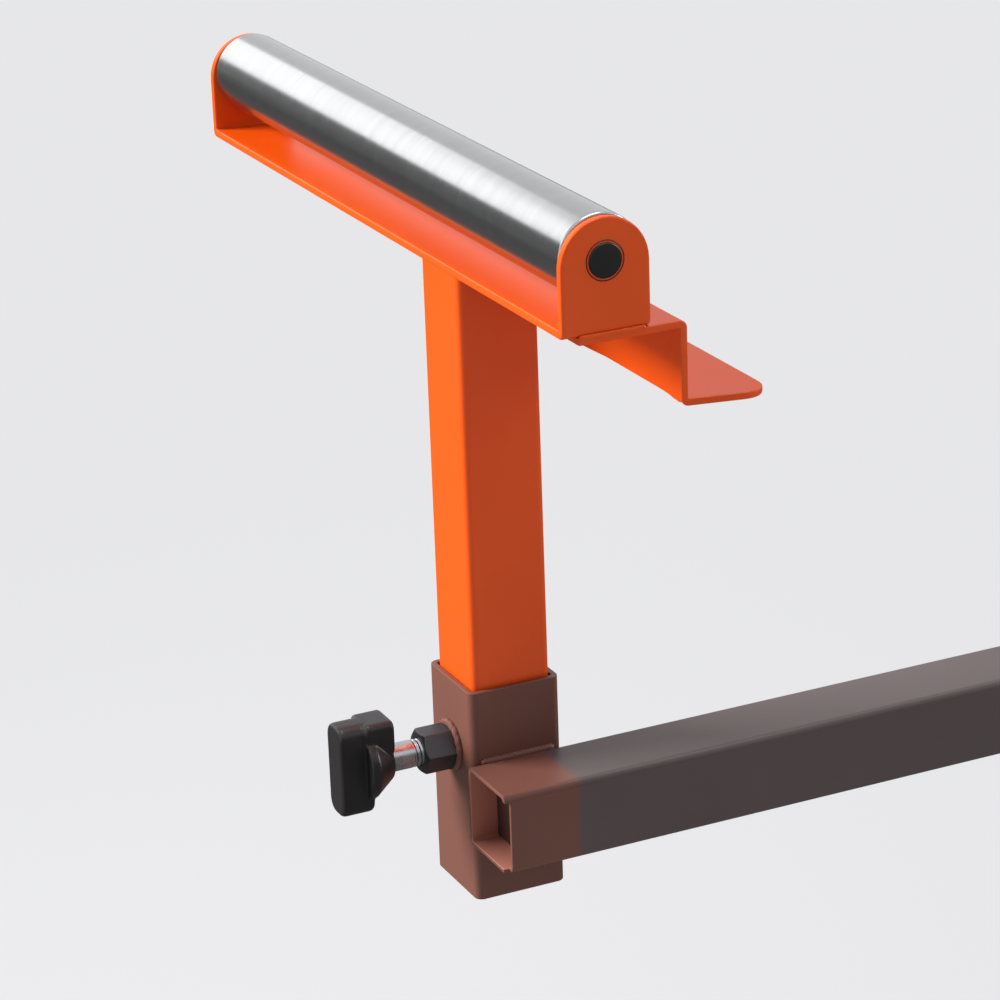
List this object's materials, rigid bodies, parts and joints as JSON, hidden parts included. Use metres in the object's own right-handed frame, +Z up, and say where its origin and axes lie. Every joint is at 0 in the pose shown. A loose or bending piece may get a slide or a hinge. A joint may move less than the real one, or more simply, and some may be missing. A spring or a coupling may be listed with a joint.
{
  "type": "miter saw stand",
  "caption": "Folding miter saw stand: rails on splayed legs, sliding arms with adjustable roller supports, and clamped saw mounts.",
  "frame": {"origin": "on the floor, under the middle of the stand", "axes": "+X along the rails to the right-hand arm, +Y to the back, +Z up"},
  "size_m": [2.06, 0.5082, 0.9738],
  "materials": {
    "orange_paint": "smooth orange powder coat",
    "brown_paint": "semi-gloss brown powder coat",
    "dark_paint": "semi-gloss grey-brown powder coat",
    "zinc": "bright zinc plate",
    "dark_steel": "dark steel nut",
    "roller_steel": "smooth bright-plated steel tube",
    "black_plastic": "moulded black nylon",
    "rubber": "moulded black rubber"
  },
  "bodies": {
    "frame": {"front_rail": "dark_paint", "rear_rail": "dark_paint", "cross_members": "dark_paint", "left_leg_brackets": "dark_paint", "right_leg_brackets": "dark_paint", "leg_pivot_bolts": "zinc", "lock_nuts": "dark_steel", "rail_plugs": "black_plastic"},
    "left_bar": {"left_extension_bar": "dark_paint", "left_bar_end_plug": "brown_paint", "left_bar_plug": "black_plastic", "left_post_sleeve": "brown_paint", "left_sleeve_nut": "dark_steel"},
    "left_support": {"left_support_post": "orange_paint", "left_post_plug": "black_plastic", "left_roller_cradle": "orange_paint", "left_stop_bracket": "orange_paint", "left_roller_axle": "zinc", "left_axle_caps": "black_plastic"},
    "left_roller": {"left_roller_shell": "roller_steel", "left_roller_bushes": "black_plastic"},
    "left_height_clamp": {"left_height_screw": "zinc", "left_height_knob": "black_plastic"},
    "left_lock_clamp": {"left_lock_screw": "zinc", "left_lock_knob": "black_plastic"},
    "left_legs": {"left_front_leg": "dark_paint", "left_rear_leg": "dark_paint", "left_leg_brace": "dark_paint", "left_leg_feet": "rubber"},
    "left_leg_clamp": {"left_leg_knob": "black_plastic"},
    "left_mount": {"left_saw_mount": "orange_paint", "left_mount_pin": "zinc"},
    "left_jaw": {"left_clamp_jaw": "zinc"},
    "left_lever": {"left_clamp_lever": "black_plastic"},
    "right_bar": {"right_extension_bar": "dark_paint", "right_bar_end_plug": "brown_paint", "right_bar_plug": "black_plastic", "right_post_sleeve": "brown_paint", "right_sleeve_nut": "dark_steel"},
    "right_support": {"right_support_post": "orange_paint", "right_post_plug": "black_plastic", "right_roller_cradle": "orange_paint", "right_stop_bracket": "orange_paint", "right_roller_axle": "zinc", "right_axle_caps": "black_plastic"},
    "right_roller": {"right_roller_shell": "roller_steel", "right_roller_bushes": "black_plastic"},
    "right_height_clamp": {"right_height_screw": "zinc", "right_height_knob": "black_plastic"},
    "right_lock_clamp": {"right_lock_screw": "zinc", "right_lock_knob": "black_plastic"},
    "right_legs": {"right_front_leg": "dark_paint", "right_rear_leg": "dark_paint", "right_leg_brace": "dark_paint", "right_leg_feet": "rubber"},
    "right_leg_clamp": {"right_leg_knob": "black_plastic"},
    "right_mount": {"right_saw_mount": "orange_paint", "right_mount_pin": "zinc"},
    "right_jaw": {"right_clamp_jaw": "zinc"},
    "right_lever": {"right_clamp_lever": "black_plastic"}
  },
  "joints": [
    {"name": "left_extend", "type": "slide", "parent": "frame", "child": "left_bar", "axis": [-1, 0, 0], "range_m": [-0.449, 0.2]},
    {"name": "left_height", "type": "slide", "parent": "left_bar", "child": "left_support", "axis": [0, 0, 1], "range_m": [-0.138, 0.03]},
    {"name": "left_roller_spin", "type": "hinge", "parent": "left_support", "child": "left_roller", "pos_m": [-0.9675, 0, 0.959], "axis": [0, 1, 0], "continuous": true},
    {"name": "left_height_knob_turn", "type": "hinge", "parent": "left_bar", "child": "left_height_clamp", "pos_m": [-0.985, -0.056, 0.7585], "axis": [-1, 0, 0], "range_deg": [0, 720]},
    {"name": "left_lock_knob_turn", "type": "hinge", "parent": "frame", "child": "left_lock_clamp", "pos_m": [-0.476, -0.106, 0.7425], "axis": [0, -1, 0], "range_deg": [0, 720]},
    {"name": "left_leg_fold", "type": "hinge", "parent": "frame", "child": "left_legs", "pos_m": [-0.44, 0, 0.665], "axis": [0, -1, 0], "range_deg": [0, 98]},
    {"name": "left_leg_knob_turn", "type": "hinge", "parent": "left_legs", "child": "left_leg_clamp", "pos_m": [-0.44431, -0.2333, 0.6343], "axis": [0, -1, 0], "range_deg": [0, 720]},
    {"name": "left_mount_slide", "type": "slide", "parent": "frame", "child": "left_mount", "axis": [1, 0, 0], "range_m": [-0.15, 0.15]},
    {"name": "left_lever_turn", "type": "hinge", "parent": "left_mount", "child": "left_lever", "pos_m": [-0.23, -0.12, 0.739], "axis": [-1, 0, 0], "range_deg": [0, 90]},
    {"name": "left_jaw_slide", "type": "slide", "parent": "left_mount", "child": "left_jaw", "axis": [0, 0, -1], "range_m": [0, 0.001]},
    {"name": "right_extend", "type": "slide", "parent": "frame", "child": "right_bar", "axis": [1, 0, 0], "range_m": [-0.449, 0.2]},
    {"name": "right_height", "type": "slide", "parent": "right_bar", "child": "right_support", "axis": [0, 0, 1], "range_m": [-0.138, 0.03]},
    {"name": "right_roller_spin", "type": "hinge", "parent": "right_support", "child": "right_roller", "pos_m": [0.9675, 0, 0.959], "axis": [0, 1, 0], "continuous": true},
    {"name": "right_height_knob_turn", "type": "hinge", "parent": "right_bar", "child": "right_height_clamp", "pos_m": [0.985, 0.056, 0.7585], "axis": [1, 0, 0], "range_deg": [0, 720]},
    {"name": "right_lock_knob_turn", "type": "hinge", "parent": "frame", "child": "right_lock_clamp", "pos_m": [0.476, 0.106, 0.7425], "axis": [0, 1, 0], "range_deg": [0, 720]},
    {"name": "right_leg_fold", "type": "hinge", "parent": "frame", "child": "right_legs", "pos_m": [0.44, 0, 0.625], "axis": [0, 1, 0], "range_deg": [0, 98]},
    {"name": "right_leg_knob_turn", "type": "hinge", "parent": "right_legs", "child": "right_leg_clamp", "pos_m": [0.44431, 0.2333, 0.5943], "axis": [0, 1, 0], "range_deg": [0, 720]},
    {"name": "right_mount_slide", "type": "slide", "parent": "frame", "child": "right_mount", "axis": [1, 0, 0], "range_m": [-0.15, 0.15]},
    {"name": "right_lever_turn", "type": "hinge", "parent": "right_mount", "child": "right_lever", "pos_m": [0.23, -0.12, 0.739], "axis": [-1, 0, 0], "range_deg": [0, 90]},
    {"name": "right_jaw_slide", "type": "slide", "parent": "right_mount", "child": "right_jaw", "axis": [0, 0, -1], "range_m": [0, 0.001]}
  ],
  "couplings": [
    {"joint": "left_jaw_slide", "follows": "left_lever_turn", "m_per_rad": 0.00063},
    {"joint": "right_jaw_slide", "follows": "right_lever_turn", "m_per_rad": 0.00063}
  ]
}
